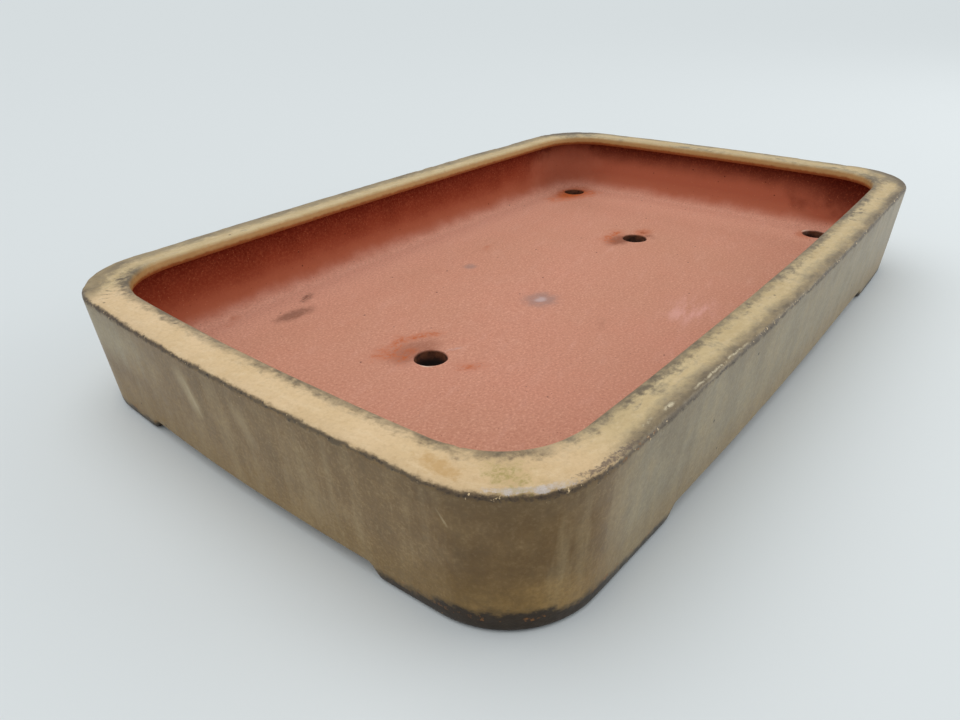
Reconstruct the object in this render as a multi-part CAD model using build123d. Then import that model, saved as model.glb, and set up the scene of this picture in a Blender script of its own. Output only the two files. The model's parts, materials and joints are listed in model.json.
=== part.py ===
from build123d import *

import os
from dataclasses import dataclass
from math import atan2, copysign, cos, degrees, hypot, radians, sin, sqrt, tan

# A shallow rectangular bonsai tray in stoneware, built from slabs as a potter builds it.
#
# The tray stands on four L-shaped corner feet.  A floor slab with six punched drain holes lies
# inside eight wall pieces: four side slabs, very slightly bowed, and four bent corner slabs.  Four
# coils pressed into the joint of wall and floor make the cove.  A rim of four strips lies on the
# walls and reaches inwards as a rounded lip.  Coils and strips meet at the middle of each corner,
# where the rim is at its widest.
#
# Frame: millimetres, +Z up, X along the tray.  The origin is on the table, under the tray's middle.
# A place in the wall's cross-section is (inset, z): inset is measured inwards from the outer edge
# of the rim, and z is the height above the table.

# Driving dimensions.
LENGTH = 550.0  # over the rim, at the middle of the short sides
WIDTH = 356.0  # over the rim, at the middle of the long sides
HEIGHT = 72.5
CORNER_RADIUS = 52.0  # of the rim's outer edge, seen from above
LONG_BOW_RADIUS = 6000.0  # the long sides bulge by about 4 mm
SHORT_BOW_RADIUS = 1950.0  # and so do the short ones
TAPER = 0.075  # the wall leans outwards by this much for each millimetre of height

FOOT_HEIGHT = 7.0
FLOOR_THICKNESS = 12.0
WALL_THICKNESS = 11.0
RIM_THICKNESS = 8.0
RIM_WIDTH = 22.0
RIM_EDGE_WIDTH = 8.0  # the part of it that follows the outer corners
RIM_OUTER_ROUND = 3.0
LIP_CORNER_RADIUS = 41.0  # larger than it would be if the rim were equally wide all round
COVE_RADIUS = 9.0

FOOT_WIDTH = 17.0
FOOT_EDGE_ROUND = 3.0
FOOT_LONG_END = 162.0  # how far from the middle the foot's long leg ends, along X
FOOT_SHORT_END = 94.0  # and its short leg, along Y
FOOT_HEEL_RADIUS = 6.0  # the leg's end rises steeply, then curves into the wall's lower edge
FOOT_HEEL_ANGLE = 60.0

DRAIN_RADIUS = 10.5
DRAIN_HOLES = [
    # Punched by hand, so the six holes aren't quite in line with each other.
    (-134.0, 1.0),
    (134.0, 8.0),
    (-230.0, -122.0),
    (236.0, -112.0),
    (-229.0, 124.0),
    (228.0, 130.5),
]

# Heights and insets that follow from them.
FLOOR_TOP = FOOT_HEIGHT + FLOOR_THICKNESS
WALL_TOP = HEIGHT - RIM_THICKNESS
ROUND_START = HEIGHT - RIM_OUTER_ROUND
NOSE_RADIUS = RIM_THICKNESS / 2
CUT_MARGIN = 20.0  # how far a cutter runs past what it cuts
MITRE_REACH = 70.0  # how far a mitre is cut along X and Y, both ways from a corner's centre


def outer_inset(z):
    """Inset of the leaning outer face at a height."""
    return (ROUND_START - z) * TAPER


def inner_inset(z):
    """Inset of the wall's inner face, which is upright beside the floor slab's edge."""
    return outer_inset(max(z, FLOOR_TOP)) + WALL_THICKNESS


@dataclass
class Run:
    """One arc of the rim's outer edge, seen from above."""

    centre: tuple
    radius: float
    start: float
    end: float

    def middle(self):
        return (self.start + self.end) / 2

    def part(self, start, end):
        return Run(self.centre, self.radius, start, end)


def corner_centre(corner_radius):
    """Centre of the corner arc in the +X +Y quarter, which is tangent to both bowed sides."""
    a = SHORT_BOW_RADIUS - corner_radius
    b = LONG_BOW_RADIUS - corner_radius
    ax = LENGTH / 2 - SHORT_BOW_RADIUS
    by = WIDTH / 2 - LONG_BOW_RADIUS
    span = hypot(ax, by)
    along = (a * a - b * b + span * span) / (2 * span)
    across = sqrt(a * a - along * along)
    unit_x, unit_y = -ax / span, by / span
    return (ax + unit_x * along - unit_y * across, unit_y * along + unit_x * across)


def outline(corner_radius):
    """The eight runs of an outline, each named, anticlockwise from the front one."""
    cx, cy = corner_centre(corner_radius)
    short_centre = LENGTH / 2 - SHORT_BOW_RADIUS
    long_centre = WIDTH / 2 - LONG_BOW_RADIUS
    short_half = degrees(atan2(cy, cx - short_centre))
    long_half = degrees(atan2(cx, cy - long_centre))

    def corner(sx, sy, middle):
        first, second = (45 - short_half, 45 - long_half)
        if sx * sy < 0:
            first, second = second, first
        return Run((sx * cx, sy * cy), corner_radius, middle - first, middle + second)

    def long_side(sy, middle):
        return Run((0, sy * long_centre), LONG_BOW_RADIUS, middle - long_half, middle + long_half)

    def short_side(sx, middle):
        return Run((sx * short_centre, 0), SHORT_BOW_RADIUS, middle - short_half, middle + short_half)

    return {
        "front": long_side(-1, -90),
        "front_right": corner(1, -1, -45),
        "right": short_side(1, 0),
        "back_right": corner(1, 1, 45),
        "back": long_side(1, 90),
        "back_left": corner(-1, 1, 135),
        "left": short_side(-1, 180),
        "front_left": corner(-1, -1, 225),
    }


def swept(section, run):
    """A cross-section, given as a list of edges made by its function, swept along one run."""
    a = radians(run.start)
    plane = Plane(
        origin=(*run.centre, 0), x_dir=(cos(a), sin(a), 0), z_dir=(sin(a), -cos(a), 0)
    )
    face = make_face(section(run.radius))
    axis = Axis((*run.centre, 0), (0, 0, 1))
    return revolve(plane * face, axis, run.end - run.start)


def wall_section(radius):
    """The wall slab: it leans outwards, and its foot is upright beside the floor slab."""
    corners = [
        (outer_inset(FOOT_HEIGHT), FOOT_HEIGHT),
        (outer_inset(WALL_TOP), WALL_TOP),
        (inner_inset(WALL_TOP), WALL_TOP),
        (inner_inset(FLOOR_TOP), FLOOR_TOP),
        (inner_inset(FLOOR_TOP), FOOT_HEIGHT),
    ]
    return Polyline([(radius - inset, z) for inset, z in corners], close=True)


def rim_edge_section(radius):
    """The rim's soft outer edge and the start of its flat top."""
    r = RIM_OUTER_ROUND
    diagonal = r * (1 - sqrt(0.5))

    def at(inset, z):
        return (radius - inset, z)

    return [
        Line(at(outer_inset(WALL_TOP), WALL_TOP), at(0, ROUND_START)),
        ThreePointArc(at(0, ROUND_START), at(diagonal, HEIGHT - diagonal), at(r, HEIGHT)),
        Line(at(r, HEIGHT), at(RIM_EDGE_WIDTH, HEIGHT)),
        Line(at(RIM_EDGE_WIDTH, HEIGHT), at(RIM_EDGE_WIDTH, WALL_TOP)),
        Line(at(RIM_EDGE_WIDTH, WALL_TOP), at(outer_inset(WALL_TOP), WALL_TOP)),
    ]


def lip_section(radius):
    """The rim's fully rounded inner edge."""

    def at(inset, z):
        return (radius - inset, z)

    start = RIM_WIDTH - NOSE_RADIUS
    nose = ThreePointArc(
        at(start, HEIGHT), at(RIM_WIDTH, HEIGHT - NOSE_RADIUS), at(start, WALL_TOP)
    )
    return [nose, Line(at(start, WALL_TOP), at(start, HEIGHT))]


def cove_section(radius):
    """A coil in the joint of wall and floor, smoothed to a hollow quarter round."""
    inset = inner_inset(FLOOR_TOP)
    top = FLOOR_TOP + COVE_RADIUS
    hollow = COVE_RADIUS * (1 - sqrt(0.5))

    def at(u, z):
        return (radius - u, z)

    under = Line(at(inset, FLOOR_TOP), at(inset + COVE_RADIUS, FLOOR_TOP))
    hollow_face = ThreePointArc(
        at(inset + COVE_RADIUS, FLOOR_TOP),
        at(inset + hollow, FLOOR_TOP + hollow),
        at(inner_inset(top), top),
    )
    wall_side = Line(at(inner_inset(top), top), at(inset, FLOOR_TOP))
    return [under, hollow_face, wall_side]


def foot_section(radius):
    """The foot's leg: it goes on from the wall's outer face and is rounded where it stands."""
    r = FOOT_EDGE_ROUND
    diagonal = r * (1 - sqrt(0.5))
    outer = outer_inset(r)
    inner = outer + FOOT_WIDTH

    def at(inset, z):
        return (radius - inset, z)

    return [
        Line(at(outer_inset(FOOT_HEIGHT), FOOT_HEIGHT), at(outer, r)),
        ThreePointArc(at(outer, r), at(outer + diagonal, diagonal), at(outer + r, 0)),
        Line(at(outer + r, 0), at(inner - r, 0)),
        ThreePointArc(at(inner - r, 0), at(inner - diagonal, diagonal), at(inner, r)),
        Line(at(inner, r), at(inner, FOOT_HEIGHT)),
        Line(at(inner, FOOT_HEIGHT), at(outer_inset(FOOT_HEIGHT), FOOT_HEIGHT)),
    ]


def joined(section, runs):
    """One solid swept along runs that follow each other."""
    pieces = [swept(section, run) for run in runs]
    whole = pieces[0]
    for piece in pieces[1:]:
        whole = whole + piece
    return whole


def plate(runs, inset, z, thickness):
    """A flat plate whose edge follows an outline at an inset."""
    edges = []
    for run in runs.values():
        edges.append(CenterArc(run.centre, run.radius - inset, run.start, run.end - run.start))
    return extrude(Pos(0, 0, z) * make_face(edges), thickness)


def whole_rim(runs):
    """The rim as one ring: outer edge and lip each follow their own outline, with a flat between."""
    lip_runs = outline(LIP_CORNER_RADIUS + RIM_WIDTH)
    outer = plate(runs, RIM_EDGE_WIDTH, WALL_TOP, RIM_THICKNESS)
    inner = plate(lip_runs, RIM_WIDTH - NOSE_RADIUS, WALL_TOP, RIM_THICKNESS)
    ring = outer - inner
    for run in runs.values():
        ring = ring + swept(rim_edge_section, run)
    for run in lip_runs.values():
        ring = ring + swept(lip_section, run)
    return ring


def mitred_block(corner, next_corner):
    """A block round one side of the tray, which ends on the diagonals of its two corners."""
    def on_diagonal(run, reach):
        x, y = run.centre
        return (x + copysign(reach, x * reach), y + copysign(reach, y * reach))

    ends = [
        on_diagonal(corner, -MITRE_REACH),
        on_diagonal(corner, MITRE_REACH),
        on_diagonal(next_corner, MITRE_REACH),
        on_diagonal(next_corner, -MITRE_REACH),
    ]
    return extrude(make_face(Polyline(*ends, close=True)), 2 * HEIGHT)


def floor_slab(runs):
    """The floor slab, which fills the space inside the walls' upright feet, with its drain holes."""
    slab = plate(runs, inner_inset(FLOOR_TOP), FOOT_HEIGHT, FLOOR_THICKNESS)
    punch = Cylinder(DRAIN_RADIUS, HEIGHT)
    for x, y in DRAIN_HOLES:
        slab = slab - Pos(x, y, HEIGHT / 2) * punch
    return slab


def heel_cutter(end):
    """What is cut off a leg that stands on the table only at X beyond a given end."""
    turn = radians(FOOT_HEEL_ANGLE)
    r = FOOT_HEEL_RADIUS
    drop = r * (1 - cos(turn))
    bend = end - (FOOT_HEIGHT - drop) / tan(turn)
    flat = bend - r * sin(turn)
    on_arc = (flat + r * sin(turn / 2), FOOT_HEIGHT - r * (1 - cos(turn / 2)))
    far = flat - CUT_MARGIN
    side = [
        Line((end, 0), (bend, FOOT_HEIGHT - drop)),
        ThreePointArc((bend, FOOT_HEIGHT - drop), on_arc, (flat, FOOT_HEIGHT)),
        Polyline((flat, FOOT_HEIGHT), (far, FOOT_HEIGHT), (far, -CUT_MARGIN), (end, -CUT_MARGIN)),
        Line((end, -CUT_MARGIN), (end, 0)),
    ]
    return extrude(Plane.XZ * make_face(side), LENGTH, both=True)


def foot(runs):
    """The foot under the +X +Y corner; the other three are its mirror images."""
    long_run, short_run = runs["back"], runs["right"]
    reach_x = FOOT_LONG_END - CUT_MARGIN
    reach_y = FOOT_SHORT_END - CUT_MARGIN
    long_end = degrees(atan2(WIDTH / 2 - long_run.centre[1], reach_x))
    short_end = degrees(atan2(reach_y, LENGTH / 2 - short_run.centre[0]))
    path = [
        short_run.part(short_end, short_run.end),
        runs["back_right"],
        long_run.part(long_run.start, long_end),
    ]
    short_cut = Rot(0, 0, 90) * heel_cutter(FOOT_SHORT_END)
    return joined(foot_section, path) - heel_cutter(FOOT_LONG_END) - short_cut


def main():
    os.makedirs("parts", exist_ok=True)
    runs = outline(CORNER_RADIUS)
    rim = whole_rim(runs)
    parts = {"floor_slab": floor_slab(runs)}
    order = list(runs)

    for side in ("front", "back", "left", "right"):
        parts[f"wall_{side}"] = swept(wall_section, runs[side])
        i = order.index(side)
        before, after = runs[order[i - 1]], runs[order[(i + 1) % len(order)]]
        path = [
            before.part(before.middle(), before.end),
            runs[side],
            after.part(after.start, after.middle()),
        ]
        parts[f"rim_{side}"] = rim & mitred_block(before, after)
        parts[f"cove_{side}"] = joined(cove_section, path)

    for corner in ("front_left", "front_right", "back_left", "back_right"):
        parts[f"corner_{corner}"] = swept(wall_section, runs[corner])

    back_right = foot(runs)
    back_left = mirror(back_right, Plane.YZ)
    parts["foot_back_right"] = back_right
    parts["foot_back_left"] = back_left
    parts["foot_front_right"] = mirror(back_right, Plane.XZ)
    parts["foot_front_left"] = mirror(back_left, Plane.XZ)

    for name, shape in parts.items():
        export_step(shape, f"parts/{name}.step")


main()
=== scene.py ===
"""The looks of a shallow stoneware bonsai tray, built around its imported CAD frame.

Each clay piece of the frame gets a fine mesh of its own.  All of them are cut from one master
profile that follows the tray's outline, and one displacement field bends them together, so the
joints between pieces stay closed and don't show.  Units are metres.
"""

import json
from itertools import product
from math import acos, atan2, cos, hypot, pi, radians, sin, sqrt

import bmesh
import bpy
import numpy as np
from mathutils import Matrix, Vector
from mathutils.geometry import delaunay_2d_cdt


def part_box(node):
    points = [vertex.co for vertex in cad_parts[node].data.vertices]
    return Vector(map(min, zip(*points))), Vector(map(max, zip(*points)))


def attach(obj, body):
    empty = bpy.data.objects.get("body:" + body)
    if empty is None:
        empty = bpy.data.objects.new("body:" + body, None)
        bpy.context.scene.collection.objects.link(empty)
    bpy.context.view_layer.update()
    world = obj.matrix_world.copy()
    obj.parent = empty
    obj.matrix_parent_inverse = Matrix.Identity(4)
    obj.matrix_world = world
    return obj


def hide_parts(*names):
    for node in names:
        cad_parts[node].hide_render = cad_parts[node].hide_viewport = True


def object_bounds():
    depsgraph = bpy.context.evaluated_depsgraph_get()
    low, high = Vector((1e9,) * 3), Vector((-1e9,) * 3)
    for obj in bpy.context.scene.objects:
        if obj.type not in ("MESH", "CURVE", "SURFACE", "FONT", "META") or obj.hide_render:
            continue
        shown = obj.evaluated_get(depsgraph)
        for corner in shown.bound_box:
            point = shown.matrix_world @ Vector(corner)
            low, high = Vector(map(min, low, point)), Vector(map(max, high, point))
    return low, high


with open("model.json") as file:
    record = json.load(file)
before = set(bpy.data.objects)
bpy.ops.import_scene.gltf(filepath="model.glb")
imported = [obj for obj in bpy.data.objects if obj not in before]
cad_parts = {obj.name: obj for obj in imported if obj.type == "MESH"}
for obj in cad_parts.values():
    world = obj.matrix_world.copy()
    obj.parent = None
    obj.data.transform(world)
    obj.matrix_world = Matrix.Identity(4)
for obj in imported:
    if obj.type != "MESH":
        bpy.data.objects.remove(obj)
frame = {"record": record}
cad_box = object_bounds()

MM = 0.001

# The outline and the wall's lean, as in the CAD.
CORNER_RADIUS = 52 * MM
LONG_BOW_RADIUS = 6.0
SHORT_BOW_RADIUS = 1.95
TAPER = 0.075
WALL_THICKNESS = 11 * MM
RIM_OUTER_ROUND = 3 * MM
RIM_WIDTH = 22 * MM
RIM_EDGE_WIDTH = 8 * MM
LIP_CORNER_RADIUS = 41 * MM
FOOT_WIDTH = 17 * MM

# What the frame gives.
LENGTH = cad_box[1].x - cad_box[0].x
WIDTH = cad_box[1].y - cad_box[0].y
HEIGHT = cad_box[1].z
WALL_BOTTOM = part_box("wall_front")[0].z
WALL_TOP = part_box("wall_front")[1].z
FLOOR_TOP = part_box("floor_slab")[1].z
HOLES = [m for m in frame["record"]["mounts"] if m["kind"] == "bore"]
LONG_LEG_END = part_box("foot_back_right")[0].x  # where the feet's legs have risen to the wall
SHORT_LEG_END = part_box("foot_back_right")[0].y

# Shapes that only the looks have.
STATION_STEP = 1.6 * MM
BOTTOM_ROUND = 3 * MM
LIP_TOP_ROUND = 2.2 * MM
LIP_LOW_ROUND = 3.2 * MM
HEEL_LENGTH = 7.5 * MM
COVE_RADIUS = 17 * MM
HOLE_LIP = 1.0 * MM  # the rounding of a drain hole's edge
HOLE_STEPS = 72
ROUND_START = HEIGHT - RIM_OUTER_ROUND


# ---------------------------------------------------------------- random fields


def lattice(cell, seed):
    """A fixed random number from 0 to 1 for each whole-numbered cell."""
    h = cell[..., 0] * 374761393 + cell[..., 1] * 668265263 + cell[..., 2] * 2147483647 + seed * 974711
    h = (h ^ (h >> 13)) * 1274126177
    h = (h ^ (h >> 16)) & 0xFFFFFF
    return h / float(0xFFFFFF)


def lumps(points, size, seed):
    """A smooth random field from -1 to 1 with lumps of about the given size."""
    p = points / size
    cell = np.floor(p).astype(np.int64)
    f = p - cell
    f = f * f * f * (f * (f * 6 - 15) + 10)
    total = np.zeros(len(points))
    for corner in product((0, 1), repeat=3):
        weight = np.prod(np.where(corner, f, 1 - f), axis=1)
        total += weight * lattice(cell + np.array(corner), seed)
    return total * 2 - 1


def smoothstep(low, high, value):
    t = np.clip((value - low) / (high - low), 0, 1)
    return t * t * (3 - 2 * t)


def warp(points):
    """The hand-made unevenness of the whole tray, as a displacement of every point."""
    low = np.stack([lumps(points, 95 * MM, s) for s in (1, 2, 3)], axis=1)
    mid = np.stack([lumps(points, 24 * MM, s) for s in (4, 5, 6)], axis=1)
    move = low * (0.4, 0.4, 0.2) * MM + mid * 0.12 * MM
    above = smoothstep(0, 9 * MM, points[:, 2])
    move[:, 2] *= above
    return move


# ---------------------------------------------------------------- the outline


class Run:
    """One arc of the rim's outer edge, seen from above."""

    def __init__(self, centre, radius, start, end):
        self.centre, self.radius, self.start, self.end = centre, radius, start, end

    def middle(self):
        return (self.start + self.end) / 2

    def part(self, start, end):
        return Run(self.centre, self.radius, start, end)

    def length(self):
        return self.radius * (self.end - self.start)


def corner_centre():
    a = SHORT_BOW_RADIUS - CORNER_RADIUS
    b = LONG_BOW_RADIUS - CORNER_RADIUS
    ax = LENGTH / 2 - SHORT_BOW_RADIUS
    by = WIDTH / 2 - LONG_BOW_RADIUS
    span = hypot(ax, by)
    along = (a * a - b * b + span * span) / (2 * span)
    across = sqrt(a * a - along * along)
    unit_x, unit_y = -ax / span, by / span
    return (ax + unit_x * along - unit_y * across, unit_y * along + unit_x * across)


def outline():
    """The eight runs of the outline, each named, anticlockwise from the front one."""
    cx, cy = corner_centre()
    short_centre = LENGTH / 2 - SHORT_BOW_RADIUS
    long_centre = WIDTH / 2 - LONG_BOW_RADIUS
    short_half = atan2(cy, cx - short_centre)
    long_half = atan2(cx, cy - long_centre)

    def corner(sx, sy, middle):
        first, second = pi / 4 - short_half, pi / 4 - long_half
        if sx * sy < 0:
            first, second = second, first
        return Run((sx * cx, sy * cy), CORNER_RADIUS, middle - first, middle + second)

    def long_side(sy, middle):
        return Run((0, sy * long_centre), LONG_BOW_RADIUS, middle - long_half, middle + long_half)

    def short_side(sx, middle):
        return Run((sx * short_centre, 0), SHORT_BOW_RADIUS, middle - short_half, middle + short_half)

    return {
        "front": long_side(-1, -pi / 2),
        "front_right": corner(1, -1, -pi / 4),
        "right": short_side(1, 0),
        "back_right": corner(1, 1, pi / 4),
        "back": long_side(1, pi / 2),
        "back_left": corner(-1, 1, 3 * pi / 4),
        "left": short_side(-1, pi),
        "front_left": corner(-1, -1, 5 * pi / 4),
    }


RUNS = outline()
PERIMETER = sum(run.length() for run in RUNS.values())


def stations(path, step=STATION_STEP):
    """Points along a path of runs: (centre x, centre y, radius, angle, distance round the rim)."""
    starts, distance = {}, 0.0
    for run in RUNS.values():
        starts[run.centre] = (distance, run.start)
        distance += run.length()
    rows = []
    for run in path:
        count = max(2, round(run.length() / step))
        first, first_angle = starts[run.centre]
        for i in range(count + 1):
            if i == 0 and rows:
                continue
            angle = run.start + (run.end - run.start) * i / count
            rows.append((*run.centre, run.radius, angle, first + run.radius * (angle - first_angle)))
    return np.array(rows)


# ---------------------------------------------------------------- the master profile


def outer_inset(z):
    return (ROUND_START - z) * TAPER


def inner_inset(z):
    return outer_inset(max(z, FLOOR_TOP)) + WALL_THICKNESS


def arc(cx, cz, r, start, end, count):
    """Points on an arc in the profile, in degrees, from outside (180) over the top (90)."""
    turns = [radians(start + (end - start) * i / count) for i in range(count + 1)]
    return [(cx + r * cos(a), cz + r * sin(a)) for a in turns]


def rim_profile():
    """The visible part of the rim, from the wall's outer face round to its inner face."""
    flat_end = RIM_WIDTH - LIP_TOP_ROUND
    low_start = RIM_WIDTH - LIP_LOW_ROUND
    points = [(outer_inset(z), z) for z in np.linspace(WALL_TOP, ROUND_START, 5)]
    points += arc(RIM_OUTER_ROUND, ROUND_START, RIM_OUTER_ROUND, 180, 90, 9)[1:]
    points += [(inset, HEIGHT) for inset in np.linspace(RIM_OUTER_ROUND, flat_end, 15)[1:-1]]
    points += arc(flat_end, HEIGHT - LIP_TOP_ROUND, LIP_TOP_ROUND, 90, 0, 8)
    points += arc(low_start, WALL_TOP + LIP_LOW_ROUND, LIP_LOW_ROUND, 0, -90, 8)
    points += [(inset, WALL_TOP) for inset in np.linspace(low_start, inner_inset(WALL_TOP), 5)[1:]]
    return points


RIM_PROFILE = rim_profile()
RIM_LENGTHS = np.concatenate(
    [[0], np.cumsum([hypot(b[0] - a[0], b[1] - a[1]) for a, b in zip(RIM_PROFILE, RIM_PROFILE[1:])])]
)
# Distances up the outside and over the rim, at which things happen to the glaze.
EDGE_AT = ROUND_START + RIM_OUTER_ROUND * pi / 4
FLAT_AT = ROUND_START + RIM_OUTER_ROUND * pi / 2
NOSE_AT = FLAT_AT + RIM_WIDTH - LIP_TOP_ROUND - RIM_OUTER_ROUND
LIP_FACE_AT = NOSE_AT + LIP_TOP_ROUND * pi / 2
LIP_END_AT = LIP_FACE_AT + HEIGHT - WALL_TOP - LIP_TOP_ROUND
INNER_AT = WALL_TOP + RIM_LENGTHS[-1]


def lip_share():
    """How much each point of the rim's profile moves when the rim gets wider at a corner."""
    insets = np.array([point[0] for point in RIM_PROFILE])
    heights = np.array([point[1] for point in RIM_PROFILE])
    over_top = np.clip((insets - RIM_EDGE_WIDTH) / (RIM_WIDTH - LIP_TOP_ROUND - RIM_EDGE_WIDTH), 0, 1)
    under_start, under_end = RIM_WIDTH - LIP_LOW_ROUND, inner_inset(WALL_TOP)
    below = np.clip((insets - under_end) / (under_start - under_end), 0, 1)
    return np.where(heights < WALL_TOP + 0.01 * MM, np.where(insets > under_end - MM, below, 0), over_top)


def widening(rows):
    """How much wider the rim is at each station, because its inner corners are rounder."""
    cx, cy = corner_centre()
    shift = LIP_CORNER_RADIUS + RIM_WIDTH - CORNER_RADIUS
    x = np.abs(rows[:, 0] + rows[:, 2] * np.cos(rows[:, 3]))
    y = np.abs(rows[:, 1] + rows[:, 2] * np.sin(rows[:, 3]))
    both = np.abs(np.cos(rows[:, 3])) + np.abs(np.sin(rows[:, 3]))
    reach = np.sqrt((shift * both) ** 2 - 2 * shift**2 + LIP_CORNER_RADIUS**2) - shift * both
    at_corner = CORNER_RADIUS - RIM_WIDTH - reach
    before = np.where(rows[:, 2] == LONG_BOW_RADIUS, cx - x, cy - y)
    left = np.clip(shift - before, 0, shift)
    at_side = LIP_CORNER_RADIUS - np.sqrt(LIP_CORNER_RADIUS**2 - left**2)
    return np.where(rows[:, 2] == CORNER_RADIUS, at_corner, at_side)


def bottom_rise(station):
    """How high the tray's underside edge is at each station: the table at the feet, or the wall."""
    cx, cy, radius, angle = station[:, 0], station[:, 1], station[:, 2], station[:, 3]
    x = np.abs(cx + radius * np.cos(angle))
    y = np.abs(cy + radius * np.sin(angle))
    on_long = radius == LONG_BOW_RADIUS
    on_short = radius == SHORT_BOW_RADIUS
    inside = np.where(on_long, LONG_LEG_END + HEEL_LENGTH - x, -1.0)
    inside = np.where(on_short, SHORT_LEG_END + HEEL_LENGTH - y, inside)
    return WALL_BOTTOM * smoothstep(0, HEEL_LENGTH, inside)


def rounding(height, radius):
    """How far a rounded bottom edge pulls the face in, at a height above the bottom."""
    left = np.clip(radius - height, 0, radius)
    return radius - np.sqrt(np.clip(radius * radius - left * left, 0, None))


# ---------------------------------------------------------------- making a piece


def solid(name, sections, rows):
    """A closed mesh from one section per station.

    sections has the shape (stations, points, 3): inset, z and the distance over the profile.
    """
    count, points = sections.shape[:2]
    cx, cy, radius, angle, distance = rows.T
    reach = radius[:, None] - sections[..., 0]
    x = cx[:, None] + reach * np.cos(angle)[:, None]
    y = cy[:, None] + reach * np.sin(angle)[:, None]
    place = np.stack([x, y, sections[..., 1]], axis=2).reshape(-1, 3)
    turn = (distance / PERIMETER * 2 * pi)[:, None] * np.ones(points)
    ring = PERIMETER / (2 * pi)
    strip = np.stack([ring * np.cos(turn), ring * np.sin(turn), sections[..., 2]], axis=2)
    strip = strip.reshape(-1, 3)
    i, j = np.meshgrid(np.arange(count - 1), np.arange(points), indexing="ij")
    k = (j + 1) % points
    faces = np.stack([i * points + j, i * points + k, (i + 1) * points + k, (i + 1) * points + j], -1)
    faces = [tuple(f) for f in faces.reshape(-1, 4).tolist()]
    faces.append(tuple(range(points - 1, -1, -1)))
    faces.append(tuple((count - 1) * points + p for p in range(points)))
    return piece(name, place, faces, strip)


def piece(name, place, faces, strip=None):
    place = place + warp(place)
    mesh = bpy.data.meshes.new(name)
    mesh.from_pydata(place.tolist(), [], faces)
    if strip is not None:
        layer = mesh.attributes.new("strip", "FLOAT_VECTOR", "POINT")
        layer.data.foreach_set("vector", np.ascontiguousarray(strip, dtype=np.float32).ravel())
    mesh.update()
    mesh.validate()
    made = bpy.data.objects.new(name, mesh)
    bpy.context.scene.collection.objects.link(made)
    return made


def finish_piece(made, node):
    """Outward faces, smooth shading with crisp joints, and its place in the frame."""
    bm = bmesh.new()
    bm.from_mesh(made.data)
    bmesh.ops.recalc_face_normals(bm, faces=bm.faces)
    bm.to_mesh(made.data)
    bm.free()
    made.data.shade_smooth()
    made.data.set_sharp_from_angle(angle=radians(42))
    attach(made, "root")
    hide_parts(node)


def repeat(section, rows):
    """The same section at every station."""
    return np.broadcast_to(np.array(section, float), (len(rows), len(section), 3)).copy()


def edge_dents(place, strip):
    """Small dents and nicks along the rim's outer edge, where the glaze broke and wore."""
    at_edge = 1 - smoothstep(1.5 * MM, 4.5 * MM, np.abs(strip[:, 2] - EDGE_AT))
    rough = lumps(place, 3.6 * MM, 21) * 0.5 + lumps(place, 7.5 * MM, 22) * 0.5
    nicks = smoothstep(0.25, 0.7, lumps(place, 9 * MM, 23))
    return at_edge * (0.16 * rough - 0.3 * nicks) * MM


def make_rim(side, path):
    rows = stations(path)
    over = [WALL_TOP + d for d in RIM_LENGTHS]
    section = [(p[0], p[1], d) for p, d in zip(RIM_PROFILE, over)]
    sections = repeat(section, rows)
    sections[:, :, 0] += widening(rows)[:, None] * lip_share()[None, :]
    flat = sections.reshape(-1, 3)
    cx, cy, radius, angle, _ = np.repeat(rows, len(section), axis=0).T
    out = radius - flat[:, 0]
    spot = np.stack([cx + out * np.cos(angle), cy + out * np.sin(angle), flat[:, 1]], 1)
    dent = edge_dents(spot, flat)
    flat[:, 0] -= dent * 0.7
    flat[:, 1] += dent * 0.7
    return solid(f"rim_{side}_glazed", sections, rows)


def make_wall(name, path):
    """The wall slab, whose lower outer edge is rounded between the feet."""
    rows = stations(path)
    rise = bottom_rise(rows)
    heights = list(WALL_BOTTOM + BOTTOM_ROUND * (1 - np.cos(np.linspace(0, pi / 2, 8))))
    heights += list(np.linspace(WALL_BOTTOM + BOTTOM_ROUND, WALL_TOP, 22))[1:]
    outer = []
    for z in heights:
        inset = outer_inset(z) + rounding(z - rise, BOTTOM_ROUND)
        outer.append(np.stack([inset, np.full(len(rows), z), np.full(len(rows), z)], 1))
    inner_heights = list(np.linspace(WALL_TOP, FLOOR_TOP, 16)) + [WALL_BOTTOM]
    inner = []
    for z in inner_heights:
        point = (inner_inset(z), z, INNER_AT + WALL_TOP - z)
        inner.append(np.broadcast_to(point, (len(rows), 3)))
    bottom = []
    for share in (0.66, 0.33):
        inset = outer[0][:, 0] * share + inner_inset(WALL_BOTTOM) * (1 - share)
        bottom.append(np.stack([inset, np.full(len(rows), WALL_BOTTOM), np.full(len(rows), 0.0)], 1))
    sections = np.stack(outer + inner + bottom[::-1], axis=1)
    return solid(name, sections, rows)


def make_foot(name, path):
    """The foot's legs, which rise into the wall at their ends."""
    rows = stations(path)
    rise = np.minimum(bottom_rise(rows), WALL_BOTTOM - 0.02 * MM)
    share = np.linspace(0, 1, 9)
    outer, under, inner = [], [], []
    thick = WALL_BOTTOM - rise
    for s in share[::-1]:
        z = rise + thick * s * s
        inset = outer_inset(z) + rounding(z - rise, BOTTOM_ROUND)
        outer.append(np.stack([inset, z, z], 1))
    back = outer_inset(BOTTOM_ROUND) + FOOT_WIDTH
    for s in np.linspace(0, 1, 7)[1:-1]:
        start = outer[-1][:, 0]
        end = back - rounding(0 * rise, BOTTOM_ROUND)
        under.append(np.stack([start * (1 - s) + end * s, rise, 0 * rise], 1))
    for s in share:
        z = rise + thick * s * s
        inset = back - rounding(z - rise, BOTTOM_ROUND)
        inner.append(np.stack([inset, z, 0 * z], 1))
    sections = np.stack(outer + under + inner, axis=1)
    return solid(name, sections, rows)


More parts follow.
